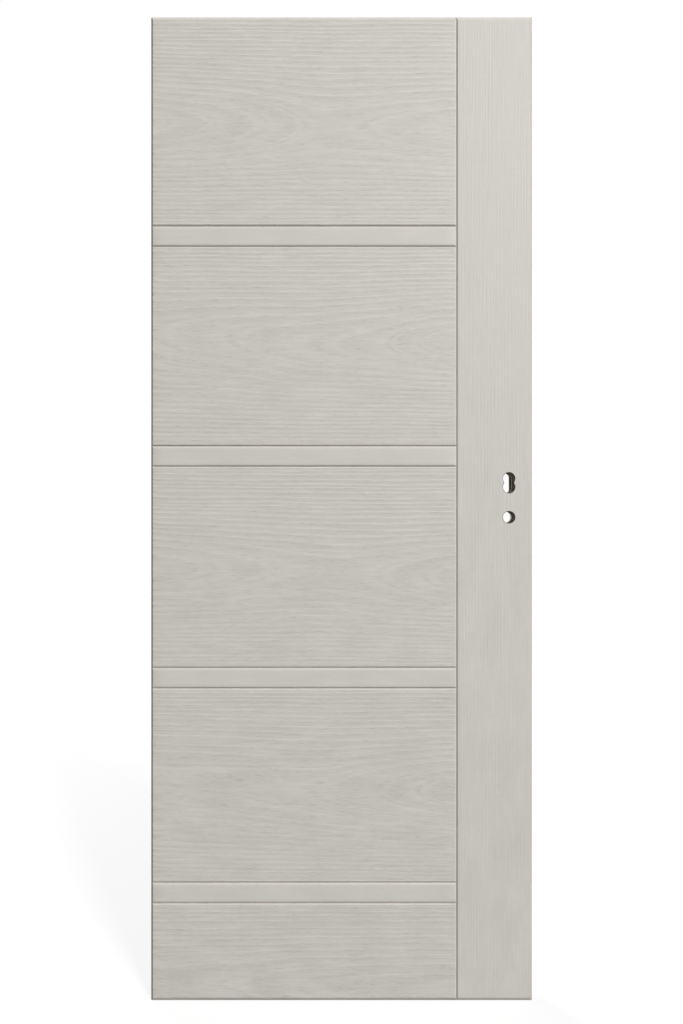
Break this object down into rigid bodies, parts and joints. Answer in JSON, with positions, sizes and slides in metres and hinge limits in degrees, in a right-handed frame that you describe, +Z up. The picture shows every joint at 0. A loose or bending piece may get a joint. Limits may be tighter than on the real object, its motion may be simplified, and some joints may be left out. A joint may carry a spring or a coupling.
{
  "type": "panelled interior door leaf",
  "caption": "Hollow-core interior door leaf with V-grooved facings, bevelled edges, lock mortise and drillings for a lever spindle and a cylinder.",
  "frame": {"origin": "middle of the leaf's bottom edge, halfway through its thickness", "axes": "+Z up, -Y out of the front face, +X towards the lock edge"},
  "size_m": [0.78, 0.04, 2.015],
  "materials": {
    "facing_lacquer": "satin lacquer over embossed ash grain",
    "frame_softwood": "planed, lacquered on the outer edges",
    "block_fibreboard": "raw, sawn",
    "core_chipboard": "raw",
    "staple_wire": "galvanised"
  },
  "bodies": {
    "root": {"front_facing": "facing_lacquer", "back_facing": "facing_lacquer", "hinge_stile": "frame_softwood", "lock_stile": "frame_softwood", "top_rail": "frame_softwood", "bottom_rail": "frame_softwood", "lock_block": "block_fibreboard", "tubular_core": "core_chipboard", "corner_staples": "staple_wire"}
  },
  "joints": []
}
